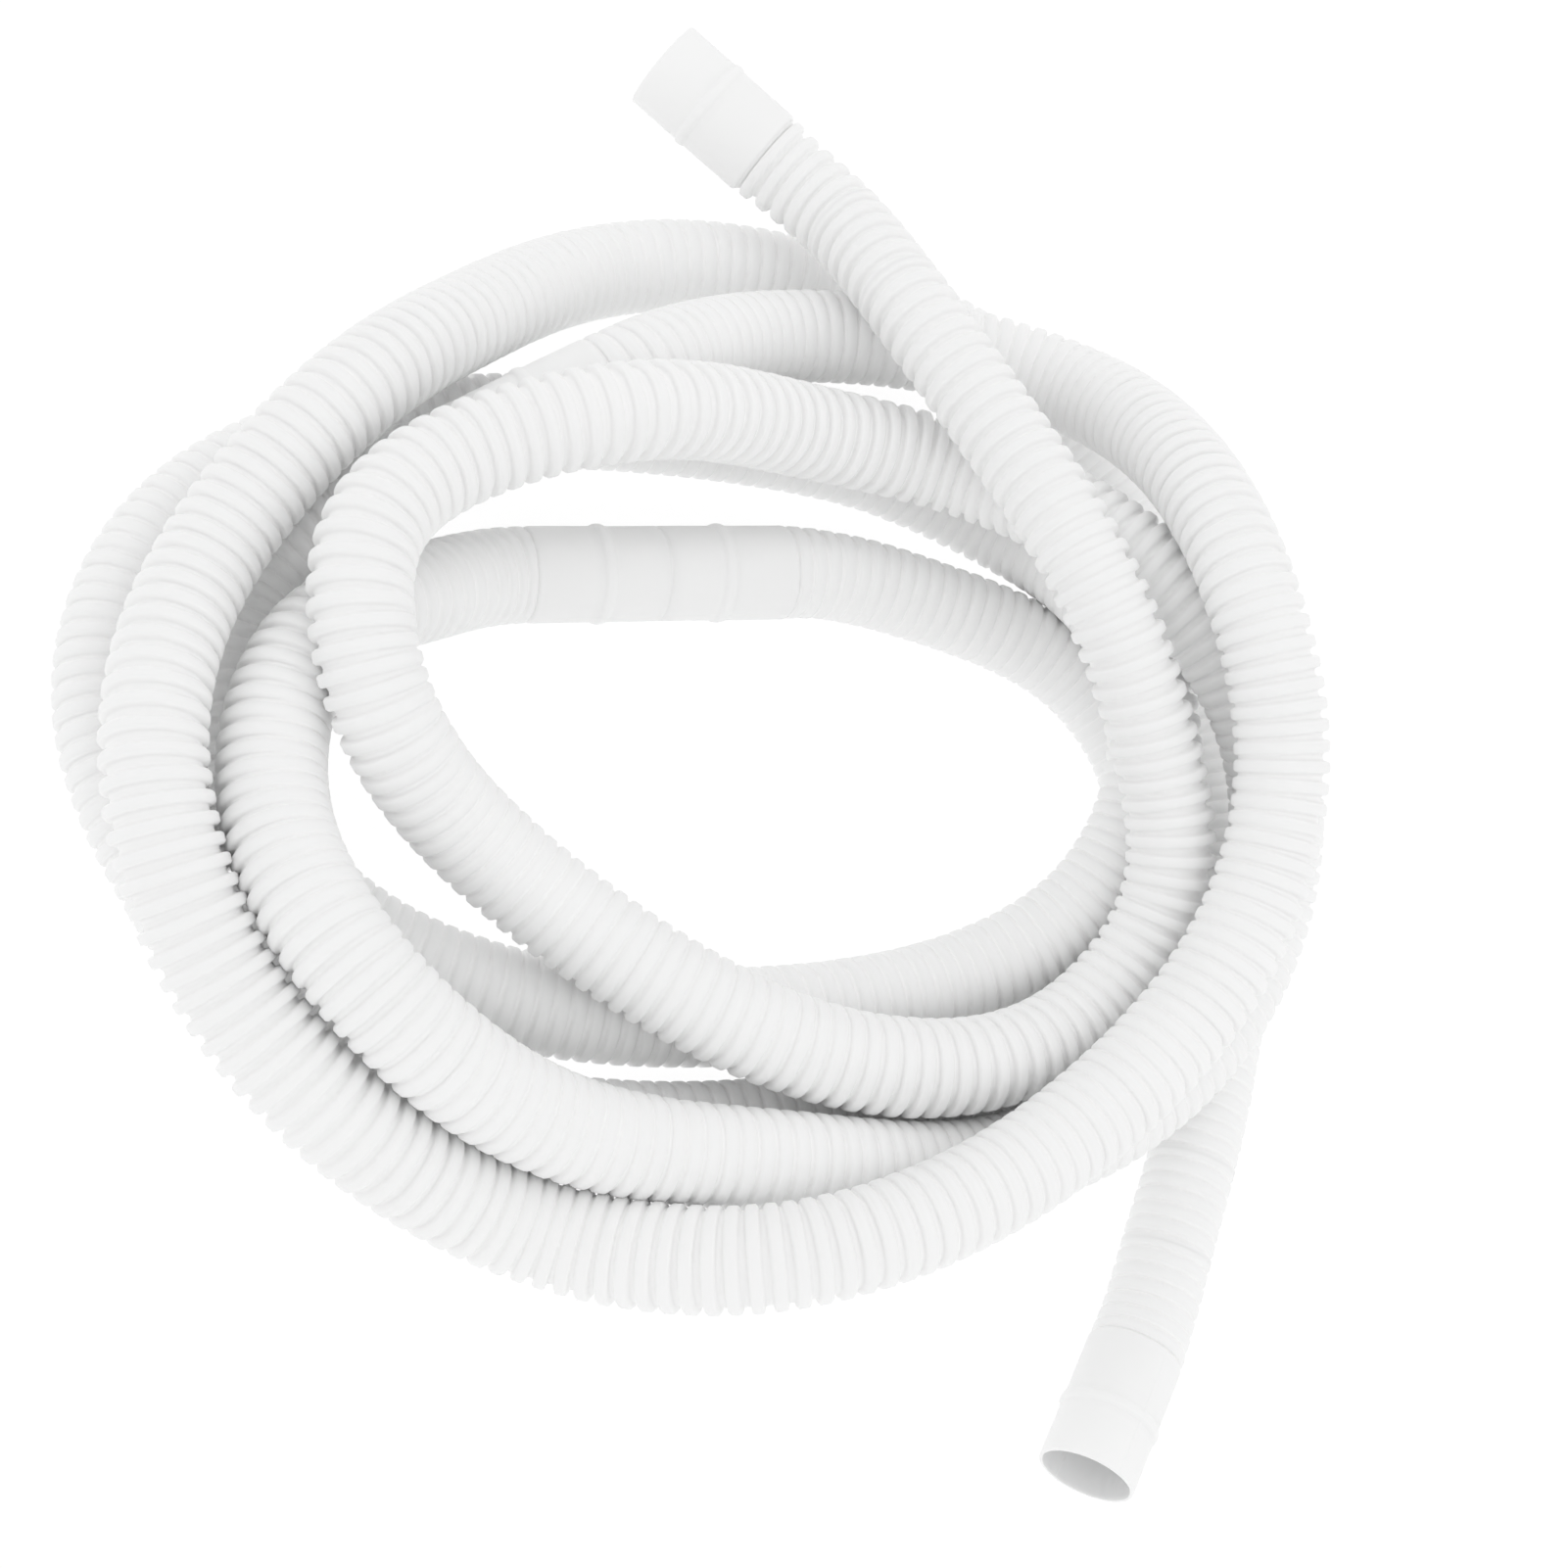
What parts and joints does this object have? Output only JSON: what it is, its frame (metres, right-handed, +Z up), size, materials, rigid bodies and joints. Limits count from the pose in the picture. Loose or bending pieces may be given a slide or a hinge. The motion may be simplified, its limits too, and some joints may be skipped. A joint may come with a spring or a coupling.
{
  "type": "pool vacuum hose",
  "caption": "Flexible ribbed pool vacuum hose with smooth push-on cuffs at both ends and double cuffs in between, lying loosely coiled on the floor.",
  "frame": {"origin": "on the floor, under the middle of the box round the coiled hose", "axes": "+Z up; +Y away from end cuff B towards end cuff A; +X to the right, towards the side where the hose runs out to end cuff B"},
  "size_m": [0.4584, 0.525, 0.1424],
  "materials": {
    "smooth_cuff": "soft satin, slightly translucent white",
    "ribbed_wall": "satin thin-walled white, lets some light through"
  },
  "bodies": {
    "root": {"ribbed_section_1": "ribbed_wall", "double_cuff_1": "smooth_cuff", "ribbed_section_2": "ribbed_wall", "double_cuff_2": "smooth_cuff", "ribbed_section_3": "ribbed_wall", "flex_a_inner": "ribbed_wall", "flex_b_inner": "ribbed_wall"},
    "neck_a": {"flex_a_outer": "ribbed_wall"},
    "free_end_a": {"end_cuff_a": "smooth_cuff"},
    "neck_b": {"flex_b_outer": "ribbed_wall"},
    "free_end_b": {"end_cuff_b": "smooth_cuff"}
  },
  "joints": [
    {"name": "swing_a", "type": "hinge", "parent": "root", "child": "neck_a", "pos_m": [0.0425, 0.1755, 0.06975], "axis": [0, 0, 1], "range_deg": [-15, 15], "stiffness_Nm_per_rad": 0.05, "deforming": ["flex_a_inner"]},
    {"name": "lift_a", "type": "hinge", "parent": "neck_a", "child": "free_end_a", "pos_m": [0.02123, 0.20431, 0.05875], "axis": [0.6948, 0.7193, 0], "range_deg": [-10, 15], "stiffness_Nm_per_rad": 0.05, "deforming": ["flex_a_outer"]},
    {"name": "swing_b", "type": "hinge", "parent": "root", "child": "neck_b", "pos_m": [0.184, -0.1585, 0.01725], "axis": [0, 0, 1], "range_deg": [-15, 15], "stiffness_Nm_per_rad": 0.05, "deforming": ["flex_b_inner"]},
    {"name": "lift_b", "type": "hinge", "parent": "neck_b", "child": "free_end_b", "pos_m": [0.1705, -0.1935, 0.01775], "axis": [-0.9267, 0.3757, 0], "range_deg": [0, 15], "stiffness_Nm_per_rad": 0.05, "deforming": ["flex_b_outer"]}
  ]
}
